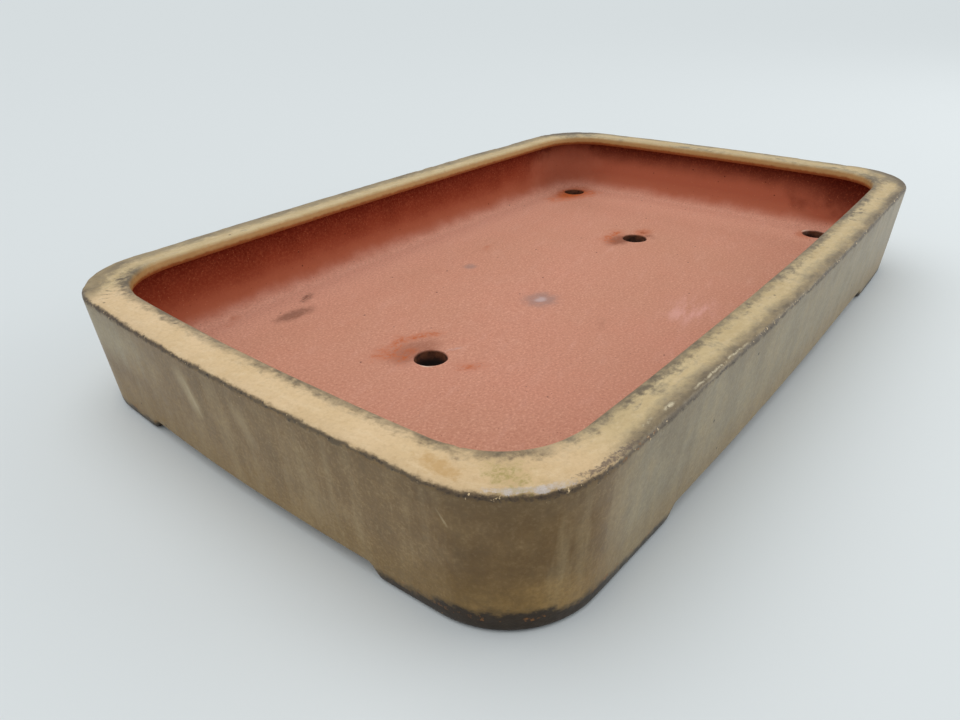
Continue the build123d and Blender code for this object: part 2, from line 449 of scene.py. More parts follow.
def cove_radius(rows):
    """The cove's radius at each station, which is smaller beside a drain hole near the wall."""
    x = rows[:, 0] + (rows[:, 2] - inner_inset(FLOOR_TOP)) * np.cos(rows[:, 3])
    y = rows[:, 1] + (rows[:, 2] - inner_inset(FLOOR_TOP)) * np.sin(rows[:, 3])
    softness = 1.5 * MM
    total = np.full(len(rows), np.exp(-COVE_RADIUS / softness))
    for hole in HOLES:
        room = np.hypot(x - hole["pos_m"][0], y - hole["pos_m"][1]) - hole["dims"]["r_mm"] * MM - HOLE_LIP
        total += np.exp(-(room - 0.5 * MM) / softness)
    return -softness * np.log(total)


def make_cove(name, path):
    rows = stations(path, 2.4 * MM)
    radius = cove_radius(rows)
    wall_foot = inner_inset(FLOOR_TOP)
    face = []
    for turn in np.linspace(pi, 1.5 * pi, 19):
        z = FLOOR_TOP + radius * (1 + sin(turn))
        inset = outer_inset(z) + WALL_THICKNESS + radius * (1 + cos(turn))
        face.append(np.stack([inset, z, 0 * z], 1))
    corner = np.broadcast_to((wall_foot, FLOOR_TOP, 0.0), (len(rows), 3))
    sections = np.stack(face + [corner], axis=1)
    return solid(name, sections, rows)


def ring_points(loop_rows, inset):
    x = loop_rows[:, 0] + (loop_rows[:, 2] - inset) * np.cos(loop_rows[:, 3])
    y = loop_rows[:, 1] + (loop_rows[:, 2] - inset) * np.sin(loop_rows[:, 3])
    return np.stack([x, y], 1)


def hole_outline(hole, grow, lean=0.0):
    """A punched hole's slightly uneven circle."""
    angles = np.arange(HOLE_STEPS) / HOLE_STEPS * 2 * pi
    radius = hole["dims"]["r_mm"] * MM
    on_circle = np.stack([np.cos(angles), np.sin(angles), 0 * angles + lean], 1)
    centre = np.array(hole["pos_m"])
    wobble = lumps(on_circle * 9 * MM + centre * 3, 6 * MM, 31)
    wobble = wobble * 0.35 * MM + lumps(on_circle * 10 * MM + centre, 2.2 * MM, 32) * 0.12 * MM
    reach = radius - 0.2 * MM + wobble + grow
    return centre[:2] + on_circle[:, :2] * reach[:, None]


def triangulate(loops, holes, spacing, seed):
    """A fine, even triangulation inside an outer loop and outside its holes."""
    outer = loops[0]
    points = [tuple(p) for loop in loops for p in loop]
    edges, start = [], 0
    for loop in loops:
        n = len(loop)
        edges += [(start + i, start + (i + 1) % n) for i in range(n)]
        start += n
    rng = np.random.default_rng(seed)
    low, high = outer.min(0), outer.max(0)
    row_gap = spacing * sqrt(3) / 2
    xs = np.arange(low[0], high[0], spacing)
    grid = []
    for r, y in enumerate(np.arange(low[1], high[1], row_gap)):
        grid.append(np.stack([xs + (r % 2) * spacing / 2, 0 * xs + y], 1))
    grid = np.concatenate(grid)
    grid += rng.uniform(-0.12, 0.12, grid.shape) * spacing
    keep = inside_outline(grid, inner_inset(FLOOR_TOP) + spacing * 0.8)
    for hole in holes:
        centre = np.array(hole["pos_m"][:2])
        keep &= np.hypot(*(grid - centre).T) > hole["dims"]["r_mm"] * MM + HOLE_LIP + spacing * 0.7
    points += [tuple(p) for p in grid[keep]]
    verts, _, faces, _, _, _ = delaunay_2d_cdt([Vector(p) for p in points], edges, [], 0, 1e-7)
    verts = np.array([tuple(v) for v in verts])
    faces = np.array(faces)
    middle = verts[faces].mean(1)
    keep = inside_outline(middle, inner_inset(FLOOR_TOP) + 0.01 * MM)
    for loop, hole in zip(loops[1:], holes):
        centre = np.array(hole["pos_m"][:2])
        reach = np.hypot(*(middle - centre).T)
        turn = np.arctan2(middle[:, 1] - centre[1], middle[:, 0] - centre[0])
        edge = np.hypot(*(loop - centre).T)
        here = np.interp(turn % (2 * pi), np.arange(HOLE_STEPS + 1) / HOLE_STEPS * 2 * pi, [*edge, edge[0]])
        keep &= reach > here * 0.999
    return verts, faces[keep]


def inside_outline(points, inset):
    """True for points further in than an inset from the rim's outer edge."""
    cx, cy = corner_centre()
    x, y = np.abs(points).T
    long_ok = np.hypot(x, y - (WIDTH / 2 - LONG_BOW_RADIUS)) < LONG_BOW_RADIUS - inset
    short_ok = np.hypot(x - (LENGTH / 2 - SHORT_BOW_RADIUS), y) < SHORT_BOW_RADIUS - inset
    in_corner = (x > cx) & (y > cy)
    corner_ok = np.hypot(x - cx, y - cy) < CORNER_RADIUS - inset
    return long_ok & short_ok & (corner_ok | ~in_corner)


def make_floor():
    """The floor slab: a fine upper face, a coarser underside, and soft-edged punched holes."""
    rows = stations(list(RUNS.values()), 4 * MM)[:-1]
    border = ring_points(rows, inner_inset(FLOOR_TOP))
    top_loops = [border] + [hole_outline(h, HOLE_LIP) for h in HOLES]
    low_loops = [border] + [hole_outline(h, HOLE_LIP * 0.6, 0.4) for h in HOLES]
    top, top_faces = triangulate(top_loops, HOLES, 2.6 * MM, 5)
    low, low_faces = triangulate(low_loops, HOLES, 7 * MM, 6)
    place = [np.column_stack([top, np.full(len(top), FLOOR_TOP)])]
    place.append(np.column_stack([low, np.full(len(low), WALL_BOTTOM)]))
    faces = [tuple(f) for f in top_faces.tolist()]
    faces += [tuple(len(top) + v for v in f[::-1]) for f in low_faces.tolist()]
    count = len(top) + len(low)
    n = len(border)
    faces += [(i, (i + 1) % n, len(top) + (i + 1) % n, len(top) + i)[::-1] for i in range(n)]
    start = n
    for hole in HOLES:
        levels = []
        for turn in np.linspace(0, pi / 2, 6)[1:]:
            z = FLOOR_TOP - HOLE_LIP * (1 - cos(turn))
            levels.append((HOLE_LIP * (1 - sin(turn)), z, 0.0))
        for z in np.linspace(FLOOR_TOP - HOLE_LIP, WALL_BOTTOM + HOLE_LIP * 0.6, 7)[1:]:
            share = (FLOOR_TOP - z) / (FLOOR_TOP - WALL_BOTTOM)
            levels.append((0.0, z, 0.4 * share))
        for turn in np.linspace(0, pi / 2, 4)[1:-1]:
            z = WALL_BOTTOM + HOLE_LIP * 0.6 * (1 - sin(turn))
            levels.append((HOLE_LIP * 0.6 * (1 - cos(turn)), z, 0.4))
        above = list(range(start, start + HOLE_STEPS))
        for grow, z, shift in levels:
            ring = hole_outline(hole, grow, shift)
            place.append(np.column_stack([ring, np.full(HOLE_STEPS, z)]))
            here = list(range(count, count + HOLE_STEPS))
            count += HOLE_STEPS
            faces += [
                (above[i], here[i], here[(i + 1) % HOLE_STEPS], above[(i + 1) % HOLE_STEPS])
                for i in range(HOLE_STEPS)
            ]
            above = here
        here = [len(top) + v for v in range(start, start + HOLE_STEPS)]
        faces += [
            (above[i], here[i], here[(i + 1) % HOLE_STEPS], above[(i + 1) % HOLE_STEPS])
            for i in range(HOLE_STEPS)
        ]
        start += HOLE_STEPS
    return piece("floor_slab_clay", np.concatenate(place), faces)


# ---------------------------------------------------------------- materials


class Paint:
    """A material under construction, with short calls for the nodes that it uses."""

    def __init__(self, name):
        self.material = bpy.data.materials.new(name)
        self.material.use_nodes = True
        self.tree = self.material.node_tree
        self.tree.nodes.clear()
        self.output = self.tree.nodes.new("ShaderNodeOutputMaterial")
        self.shader = self.tree.nodes.new("ShaderNodeBsdfPrincipled")
        self.tree.links.new(self.shader.outputs[0], self.output.inputs[0])
        self.place = self.tree.nodes.new("ShaderNodeTexCoord").outputs["Object"]

    def plug(self, socket, value):
        if isinstance(value, bpy.types.NodeSocket):
            self.tree.links.new(value, socket)
        elif isinstance(value, (tuple, list)) and socket.type == "RGBA":
            socket.default_value = (*value, 1.0)[:4]
        else:
            socket.default_value = value

    def math(self, operation, a, b=0.0):
        node = self.tree.nodes.new("ShaderNodeMath")
        node.operation = operation
        self.plug(node.inputs[0], a)
        self.plug(node.inputs[1], b)
        return node.outputs[0]

    def times(self, a, b):
        return self.math("MULTIPLY", a, b)

    def plus(self, a, b):
        return self.math("ADD", a, b)

    def most(self, a, b):
        return self.math("MAXIMUM", a, b)

    def sway(self, noise, amount):
        """A noise turned into a change of up to half the amount either way."""
        return self.times(self.plus(noise, -0.5), amount)

    def weigh(self, base, *pairs):
        """A base, to which each value is added times its weight."""
        for value, weight in pairs:
            base = self.plus(base, self.times(value, weight))
        return base

    def vector_math(self, operation, a, b):
        node = self.tree.nodes.new("ShaderNodeVectorMath")
        node.operation = operation
        self.plug(node.inputs[0], a)
        self.plug(node.inputs[1], b)
        single = operation in ("LENGTH", "DISTANCE", "DOT_PRODUCT")
        return node.outputs["Value" if single else "Vector"]

    def stretch(self, vector, factors):
        return self.vector_math("MULTIPLY", vector, factors)

    def noise(self, vector, size, detail, roughness, distortion=0.0):
        """A noise from 0 to 1 with features of about a size in metres."""
        node = self.tree.nodes.new("ShaderNodeTexNoise")
        self.plug(node.inputs["Vector"], vector)
        node.inputs["Scale"].default_value = 1 / size
        node.inputs["Detail"].default_value = detail
        node.inputs["Roughness"].default_value = roughness
        node.inputs["Distortion"].default_value = distortion
        return self.ramp(node.outputs["Fac"], 0.25, 0.75)

    def cells(self, vector, size):
        """Distance to the nearest of many scattered points, in cell sizes, and a random number."""
        node = self.tree.nodes.new("ShaderNodeTexVoronoi")
        self.plug(node.inputs["Vector"], vector)
        node.inputs["Scale"].default_value = 1 / size
        split = self.tree.nodes.new("ShaderNodeSeparateColor")
        self.plug(split.inputs[0], node.outputs["Color"])
        return node.outputs["Distance"], split.outputs[0]

    def ramp(self, value, low, high, to_low=0.0, to_high=1.0, smooth=False):
        node = self.tree.nodes.new("ShaderNodeMapRange")
        node.interpolation_type = "SMOOTHSTEP" if smooth else "LINEAR"
        self.plug(node.inputs["Value"], value)
        ends = {"From Min": low, "From Max": high, "To Min": to_low, "To Max": to_high}
        for socket, number in ends.items():
            self.plug(node.inputs[socket], number)
        return node.outputs[0]

    def rise(self, value, low, high):
        """0 at low and 1 at high, eased at both ends."""
        return self.ramp(value, low, high, smooth=True)

    def mix(self, share, a, b):
        node = self.tree.nodes.new("ShaderNodeMix")
        node.data_type = "RGBA"
        self.plug(node.inputs["Factor"], share)
        self.plug(node.inputs[6], a)
        self.plug(node.inputs[7], b)
        return node.outputs[2]

    def coats(self, colour, *coats):
        """A colour with coats laid over it in turn, each a share and a colour."""
        for share, tint in coats:
            colour = self.mix(share, colour, tint)
        return colour

    def split(self, vector):
        node = self.tree.nodes.new("ShaderNodeSeparateXYZ")
        self.plug(node.inputs[0], vector)
        return node.outputs

    def combine(self, x, y, z):
        node = self.tree.nodes.new("ShaderNodeCombineXYZ")
        for socket, value in zip(node.inputs, (x, y, z)):
            self.plug(socket, value)
        return node.outputs[0]

    def flattened(self):
        """The place seen from above, with no height."""
        x, y, _ = self.split(self.place)
        return self.combine(x, y, 0.0)

    def bent(self, first, second, amount):
        """The place, shaken along X and Y by two noises."""
        shake = self.combine(self.plus(first, -0.5), self.plus(second, -0.5), 0.0)
        return self.vector_math("ADD", self.place, self.stretch(shake, (amount, amount, 0.0)))

    def attribute(self, name):
        node = self.tree.nodes.new("ShaderNodeAttribute")
        node.attribute_name = name
        return node.outputs["Vector"]

    def specks(self, vector, size, radius, share):
        """Round specks of a radius in cell sizes, in a share of the cells."""
        distance, pick = self.cells(vector, size)
        dot = self.ramp(distance, radius, radius * 0.55, 0.0, 1.0)
        chosen = self.math("LESS_THAN", pick, share)
        return self.times(dot, chosen)

    def spot(self, centre, reach, wobble=0.0):
        """A soft blot round a point: 1 in the middle, 0 beyond the reach along X, Y and Z."""
        away = self.vector_math("SUBTRACT", self.place, centre)
        away = self.stretch(away, tuple(1 / r for r in reach))
        distance = self.vector_math("LENGTH", away, (0.0, 0.0, 0.0))
        return self.rise(self.plus(distance, wobble), 1.0, 0.2)

    def stroke(self, start, end, width, place):
        """A line between two points, which fades towards its ends: 1 in its middle."""
        way = Vector(end) - Vector(start)
        offset = self.vector_math("SUBTRACT", place, start)
        along = self.vector_math("DOT_PRODUCT", offset, tuple(way / way.length_squared))
        kept = self.math("MINIMUM", self.most(along, 0.0), 1.0)
        node = self.tree.nodes.new("ShaderNodeVectorMath")
        node.operation = "SCALE"
        node.inputs[0].default_value = way
        self.plug(node.inputs["Scale"], kept)
        away = self.vector_math("DISTANCE", offset, node.outputs[0])
        fade = self.ramp(self.math("ABSOLUTE", self.plus(along, -0.5)), 0.6, 0.3)
        return self.times(self.ramp(away, width, width * 0.2), fade)

    def fleck(self, strength, grain, soft):
        """A patch that breaks up into flecks where its strength, from 0 to 1, is low."""
        return self.ramp(self.plus(strength, grain), 1.0, 1.0 + soft)

    def band(self, value, start, rise, fall, end):
        """1 between rise and fall, 0 before start and after end."""
        return self.times(self.rise(value, start, rise), self.rise(value, end, fall))

    def layer(self, colour, strength, grain, tint, cover=1.0, soft=0.2):
        """A colour with flecks or patches of a tint laid over it."""
        return self.mix(self.times(self.fleck(strength, grain, soft), cover), colour, tint)

    def bump(self, height, distance, under=None, strength=1.0):
        node = self.tree.nodes.new("ShaderNodeBump")
        node.inputs["Strength"].default_value = strength
        node.inputs["Distance"].default_value = distance
        self.plug(node.inputs["Height"], height)
        if under is not None:
            self.plug(node.inputs["Normal"], under)
        return node.outputs[0]

    def done(self, colour, rough, shine, normal):
        """The material, with these values in its shader."""
        for name, value in (
            ("Base Color", colour),
            ("Roughness", rough),
            ("Specular IOR Level", shine),
            ("Normal", normal),
        ):
            self.plug(self.shader.inputs[name], value)
        return self.material


def srgb(red, green, blue):
    """A colour given as it looks on a screen, 0 to 255, as the shader wants it."""
    made = []
    for value in (red, green, blue):
        v = value / 255
        made.append(v / 12.92 if v <= 0.04045 else ((v + 0.055) / 1.055) ** 2.4)
    return tuple(made)


def mm(x, y, z):
    """A place or a reach given in millimetres."""
    return (x * MM, y * MM, z * MM)


def rim_top(x, y):
    """A place on the flat of the rim, given in millimetres."""
    return (x * MM, y * MM, HEIGHT)


def bare_clay():
    """Unglazed red stoneware with fine grit, rust round the drain holes and a few old stains."""
    p = Paint("bare_clay")
    x, y, height = p.split(p.place)
    broad = p.noise(p.place, 90 * MM, 3, 0.6)
    mottle = p.noise(p.place, 22 * MM, 4, 0.6)
    ragged = p.noise(p.place, 6 * MM, 5, 0.7)
    sand = p.noise(p.place, 1.6 * MM, 3, 0.75)
    grain = p.noise(p.place, 0.7 * MM, 2, 0.7)

    # The floor is paler along its far sides: painted light.
    painted_light_far_sides = p.most(p.rise(y, 95 * MM, 150 * MM), p.rise(x, 190 * MM, 250 * MM))
    colour = p.coats(
        p.mix(broad, srgb(206, 142, 118), srgb(196, 138, 111)),
        (p.times(mottle, 0.35), srgb(210, 156, 134)),
        (p.times(painted_light_far_sides, 0.66), srgb(242, 178, 153)),
        (p.ramp(sand, 0.0, 0.75, 0.5, 0.0), srgb(150, 84, 62)),
        (p.ramp(sand, 0.6, 1.0, 0.0, 0.5), srgb(230, 176, 152)),
    )

    # The wall gets redder and darker as it climbs out of the cove: partly the clay's own colour, partly
    # painted shade.
    # At the right end the wall is painted paler in the middle and darker at the top: painted light and shade.
    right_end_painted_lighting = p.rise(x, LENGTH / 2 - 110 * MM, LENGTH / 2 - 40 * MM)
    level = p.plus(height, p.sway(mottle, 5 * MM))
    climb = p.math("SQRT", p.most(p.ramp(height, FLOOR_TOP, FLOOR_TOP + 20 * MM), 0.0))
    wall = p.rise(p.plus(climb, p.sway(mottle, 0.2)), 0.2, 0.74)
    higher = p.rise(level, FLOOR_TOP + 9 * MM, FLOOR_TOP + 27 * MM)
    middle = p.mix(higher, srgb(176, 95, 68), p.mix(mottle, srgb(144, 56, 31), srgb(132, 48, 25)))
    # The darkest band at the wall's top is a painted shadow under the lip.
    top = p.rise(level, WALL_TOP - 24 * MM, WALL_TOP - 2 * MM)
    # Painted light on the wall at the back right corner, and painted shade at the right end near the front.
    painted_light_back_right = p.spot(mm(258, 158, 44), mm(80, 50, 30), p.sway(mottle, 0.6))
    painted_shade_right_front = p.spot(mm(262, -140, 50), mm(50, 75, 32), p.sway(mottle, 0.6))
    colour = p.coats(
        colour,
        (p.times(wall, 0.96), p.mix(right_end_painted_lighting, middle, srgb(184, 106, 80))),
        (p.times(top, 0.9), p.mix(right_end_painted_lighting, srgb(98, 18, 5), srgb(78, 17, 9))),
        (p.times(p.times(wall, sand), 0.18), srgb(196, 110, 74)),
        (p.times(p.times(painted_light_back_right, wall), 0.5), srgb(204, 132, 104)),
        (p.times(p.times(painted_shade_right_front, wall), 0.75), srgb(92, 26, 15)),
    )

    # Pale scuffs of lime, all slanting the same way, and one wider patch of them.
    slanted = p.combine(p.times(p.plus(x, p.times(y, 0.3)), 0.25), p.plus(y, p.times(x, -0.3)), height)
    smear = p.noise(slanted, 7 * MM, 4, 0.65)
    flat = p.ramp(height, FLOOR_TOP + 8 * MM, FLOOR_TOP + 2 * MM)
    patch = p.times(p.spot((*on_table(24, -94), FLOOR_TOP), mm(34, 26, 20)), p.ramp(smear, 0.35, 0.8))

    # Grit: dark grog, and pale grains that show best on the dark walls.
    dark = p.specks(p.place, 3.2 * MM, 0.13, 0.4)
    big = p.specks(p.stretch(p.place, (0.93, 1.0, 1.07)), 11 * MM, 0.075, 0.35)
    light = p.specks(p.stretch(p.place, (1.07, 0.93, 1.0)), 3.0 * MM, 0.13, 0.5)
    small = p.ramp(p.plus(sand, p.times(grain, 0.6)), 0.85, 1.25)
    colour = p.coats(
        colour,
        (p.times(p.times(p.ramp(smear, 0.6, 1.0), flat), 0.16), srgb(222, 172, 156)),
        (p.times(patch, 0.55), srgb(224, 168, 158)),
        (p.times(dark, 0.55), srgb(98, 48, 36)),
        (p.times(big, 0.85), srgb(70, 38, 30)),
        (p.times(light, 0.5), srgb(220, 150, 108)),
        (p.times(p.times(small, wall), 0.4), srgb(186, 104, 68)),
    )

    bent = p.bent(ragged, mottle, 5 * MM)
    for kind, start, end, width, tint, strength in STAINS:
        if kind == "blot":
            mark = p.spot((*start, FLOOR_TOP), (*end, 20 * MM), p.sway(ragged, 0.7))
            mark = p.times(mark, p.ramp(p.plus(p.times(mark, 0.8), ragged), 0.45, 1.15))
        else:
            mark = p.stroke((*start, FLOOR_TOP), (*end, FLOOR_TOP), width, bent)
            mark = p.times(mark, p.ramp(p.plus(ragged, p.times(sand, 0.9)), 0.75, 1.35))
        colour = p.mix(p.times(mark, strength), colour, tint)

    # The drain holes get darker as they go down, a painted shade, and the underside is plain clay again.
    inside = p.ramp(height, FLOOR_TOP - 0.3 * MM, FLOOR_TOP - 1.6 * MM)
    deep = p.rise(height, FLOOR_TOP - 3 * MM, FLOOR_TOP - 9 * MM)
    below = p.mix(p.ramp(ragged, 0.35, 0.75), srgb(118, 70, 46), srgb(66, 38, 26))
    under = p.ramp(height, FLOOR_TOP - 11 * MM, FLOOR_TOP - 11.7 * MM)
    colour = p.coats(
        colour,
        (inside, p.mix(deep, below, srgb(34, 24, 20))),
        (under, p.mix(mottle, srgb(166, 100, 76), srgb(142, 82, 60))),
    )

    # Two of the holes have a chipped, paler edge on one side.
    for name, side in (("drain_hole_left", on_table(-9, -5)), ("drain_hole_front_right", on_table(4, 10))):
        cx, cy = hole_place(name)
        chip = p.spot((cx + side[0], cy + side[1], FLOOR_TOP), mm(9, 7, 9), p.times(ragged, 0.3))
        edge = p.vector_math("DISTANCE", p.flattened(), (cx, cy, 0.0))
        edge = p.ramp(p.math("ABSOLUTE", p.plus(edge, -11 * MM)), 1.1 * MM, 0.5 * MM)
        colour = p.mix(p.times(p.times(chip, edge), 0.9), colour, srgb(232, 206, 184))

    lay = p.bump(mottle, 0.25 * MM, strength=0.5)
    lay = p.bump(sand, 0.12 * MM, lay, 0.6)
    lay = p.bump(grain, 0.05 * MM, lay, 0.5)
    lay = p.bump(dark, -0.15 * MM, lay, 0.5)
    return p.done(colour, p.ramp(mottle, 0, 1, 0.72, 0.86), p.ramp(wall, 0.0, 1.0, 0.3, 0.06), lay)


class Glaze(Paint):
    """The glaze's material, with the noises and the zones that its colours share."""

    def __init__(self, name):
        super().__init__(name)
        strip = self.attribute("strip")
        self.over = self.split(strip)[2]
        x, y, self.height = self.split(self.place)
        self.broad = self.noise(self.place, 110 * MM, 3, 0.55)
        self.cloud = self.noise(self.place, 30 * MM, 4, 0.6)
        self.blotch = self.noise(self.place, 13 * MM, 5, 0.65)
        self.fine = self.noise(self.place, 4.5 * MM, 5, 0.7)
        self.sand = self.noise(self.place, 1.7 * MM, 3, 0.75)
        self.grain = self.noise(self.place, 0.8 * MM, 2, 0.7)
        self.flakes = self.noise(self.place, 2.4 * MM, 3, 0.6)
        self.brushed = self.noise(self.stretch(strip, (0.4, 0.4, 1.0)), 3.4 * MM, 5, 0.7)
        self.patch = self.noise(self.stretch(strip, (0.55, 0.55, 1.0)), 17 * MM, 5, 0.68, 0.4)
        self.speckle = self.plus(self.times(self.fine, 0.55), self.times(self.sand, 0.5))
        self.ragged = self.plus(self.sway(self.brushed, 3.0 * MM), self.sway(self.fine, 3.0 * MM))

        half_x, half_y = LENGTH / 2, WIDTH / 2
        near_side = self.rise(y, 48 * MM - half_y, 30 * MM - half_y)
        self.front = self.times(near_side, self.rise(x, -232 * MM, -196 * MM))
        self.back = self.rise(y, half_y - 60 * MM, half_y - 35 * MM)
        self.right = self.rise(x, half_x - 60 * MM, half_x - 35 * MM)
        self.left = self.rise(x, 60 * MM - half_x, 35 * MM - half_x)
        self.behind = self.most(self.back, self.right)
        # Round the near corner the glaze is darker on the wall and rim: partly its own colour, partly painted
        # shade.
        self.near_corner = self.spot(mm(-256, -168, 30), mm(58, 86, 90), self.sway(self.cloud, 0.4))
        self.back_corner = self.spot(rim_top(-262, 164), mm(70, 60, 60))

        # Where the rim begins, and the worn line along its outer edge.
        self.on_rim = self.rise(self.frayed(0.8), EDGE_AT - 1.2 * MM, EDGE_AT + 1.4 * MM)
        self.from_edge = self.math("ABSOLUTE", self.plus(self.frayed(0.5), 0.9 * MM - EDGE_AT))
        self.sooty = self.spot(rim_top(-266, 100), mm(30, 130, 30))
        darkest = self.most(self.near_corner, self.most(self.sooty, self.cloud))
        wide = self.plus(1.3 * MM, self.times(darkest, 2.4 * MM))
        away = self.math("DIVIDE", self.from_edge, wide)
        self.line = self.most(self.plus(1.0, self.times(away, -1.0)), 0.0)

        # How thin and dirty the glaze is low on the wall and on the feet.
        deep = self.weigh(8.5 * MM, (self.near_corner, 6.8 * MM), (self.blotch, 3 * MM))
        down = self.plus(self.height, self.ragged)
        depth = self.math("DIVIDE", self.plus(deep, self.times(down, -1.0)), 9 * MM)
        self.low_dark = self.most(depth, 0.0)

    def frayed(self, share):
        """The distance up the wall and over the rim, with a ragged edge."""
        return self.plus(self.over, self.times(self.ragged, share))


def wall_glaze(p):
    """The wall: olive-brown, darker at the near corner (partly painted shade), greyer along the front (partly
    painted reflection), golden low down.
    """
    runs = p.noise(p.stretch(p.place, (1.0, 1.0, 0.13)), 12 * MM, 4, 0.62)
    # A painted sheen: a paler patch high on the left end, towards the back.
    painted_sheen_left_end = p.spot(mm(-262, 112, 60), mm(40, 70, 27), p.sway(runs, 0.8))
    under_edge = p.rise(p.plus(p.over, p.times(p.cloud, 8 * MM)), EDGE_AT - 14 * MM, EDGE_AT + 2 * MM)
    low = p.rise(p.plus(p.height, p.times(p.cloud, 22 * MM)), 44 * MM, 20 * MM)
    golden = p.times(p.band(p.height, 6 * MM, 12 * MM, 22 * MM, 34 * MM), p.ramp(p.cloud, 0.35, 0.75))
    grit = p.plus(p.sand, p.times(p.fine, 0.5))
    pale_grain = p.times(p.ramp(grit, 0.8, 1.4, 0.0, 0.4), p.plus(1.0, p.times(p.near_corner, -0.6)))
    wall = p.coats(
        p.mix(p.broad, srgb(134, 106, 68), srgb(143, 116, 79)),
        # Greyer and paler along the front: partly the glaze's own tone, partly painted reflection.
        (p.front, p.mix(p.broad, srgb(150, 138, 112), srgb(158, 147, 122))),
        (p.times(p.behind, 0.5), srgb(150, 134, 104)),
        (p.times(p.cloud, 0.35), srgb(118, 92, 56)),
        (p.ramp(p.blotch, 0.45, 1.0, 0.0, 0.4), srgb(172, 148, 108)),
        (p.ramp(p.blotch, 0.0, 0.5, 0.3, 0.0), srgb(108, 88, 58)),
        # Darker round the near corner: partly the glaze's own colour, partly painted shade.
        (p.times(p.near_corner, 0.7), p.mix(p.blotch, srgb(82, 55, 20), srgb(120, 92, 52))),
        (p.ramp(runs, 0.5, 1.0, 0.0, 0.5), srgb(176, 156, 118)),
        (p.ramp(runs, 0.0, 0.5, 0.3, 0.0), srgb(104, 86, 58)),
        (p.times(painted_sheen_left_end, 0.5), srgb(184, 172, 142)),
        (p.times(under_edge, p.plus(0.25, p.times(p.near_corner, 0.3))), srgb(96, 76, 50)),
        (p.times(low, 0.42), srgb(142, 112, 60)),
        (p.times(golden, p.plus(0.15, p.times(p.near_corner, 0.55))), srgb(172, 136, 78)),
        (p.ramp(grit, 0.2, 0.9, 0.34, 0.0), srgb(84, 68, 44)),
        (pale_grain, srgb(184, 164, 126)),
    )
    for start, end, width, strength in SCRATCHES:
        wall = p.mix(p.times(p.stroke(start, end, width, p.place), strength), wall, srgb(196, 178, 142))
    return wall


def rim_glaze(p):
    """The rim: buff under brushed grey wear, which differs from side to side."""
    rim = p.coats(
        p.mix(p.cloud, srgb(222, 193, 152), srgb(208, 178, 132)),
        (p.times(p.near_corner, 0.6), srgb(196, 166, 122)),
        (p.times(p.most(p.front, p.behind), 0.85), p.mix(p.patch, srgb(176, 152, 104), srgb(206, 186, 142))),
        (p.times(p.ramp(p.brushed, 0.5, 1.0), 0.35), srgb(232, 210, 174)),
        (p.times(p.ramp(p.fine, 0.6, 1.0), 0.3), srgb(184, 148, 100)),
        (p.ramp(p.sand, 0.0, 0.6, 0.25, 0.0), srgb(150, 122, 84)),
    )

    # Patches of wear, more of them near both edges.
    outwards = p.ramp(p.frayed(1.5), EDGE_AT + 11 * MM, EDGE_AT + 1 * MM)
    inwards = p.ramp(p.frayed(1.6), NOSE_AT - 8 * MM, NOSE_AT + 1 * MM)
    outer_wear = p.weigh(0.03, (p.front, 0.2), (p.back, 0.4), (p.right, 0.3))
    inner_wear = p.weigh(
        0.5, (p.back_corner, 0.35), (p.most(p.near_corner, p.front), -0.3), (p.behind, -0.4)
    )
    wear = p.weigh(
        0.0, (p.front, 0.45), (p.back, 0.24), (p.right, 0.46), (outwards, outer_wear), (inwards, inner_wear)
    )
    strokes = p.ramp(p.weigh(0.0, (p.patch, 0.65), (p.brushed, 0.35), (p.fine, 0.2)), 0.25, 0.95)
    rim = p.layer(rim, wear, strokes, p.mix(p.fine, srgb(132, 119, 95), srgb(100, 88, 69)), 0.85, 0.5)

    # Soft shading that comes in from both edges.
    from_out = p.rise(p.plus(p.frayed(1.9), p.times(p.back, -6 * MM)), EDGE_AT + 9 * MM, EDGE_AT + 0.5 * MM)
    from_in = p.rise(p.frayed(1.9), NOSE_AT - 6.5 * MM, NOSE_AT + 0.5 * MM)
    outer_shade = p.weigh(0.0, (p.front, 0.9), (p.back, 0.75), (p.right, 0.65), (p.left, 0.08))
    inner_shade = p.weigh(0.0, (p.front, 0.85), (p.left, 0.75), (p.back_corner, 0.5), (p.right, 0.2))
    shade = p.most(p.times(from_out, outer_shade), p.times(from_in, inner_shade))
    shade = p.times(shade, p.plus(0.4, p.patch))
    rim = p.mix(shade, rim, p.mix(p.fine, srgb(116, 101, 77), srgb(90, 76, 57)))

    # A thin, speckled dark line along the inner edge.
    narrow = p.ramp(p.frayed(1.0), NOSE_AT - 4 * MM, NOSE_AT + 1 * MM)
    amount = p.weigh(
        0.32,
        (p.left, 0.16),
        (p.back_corner, 0.3),
        (p.near_corner, -0.22),
        (p.behind, -0.2),
        (p.cloud, 0.15),
    )
    crumbs = p.plus(p.times(p.sand, 0.6), p.times(p.brushed, 0.45))
    return p.layer(rim, p.times(narrow, amount), crumbs, srgb(88, 79, 64), 0.7, 0.45)


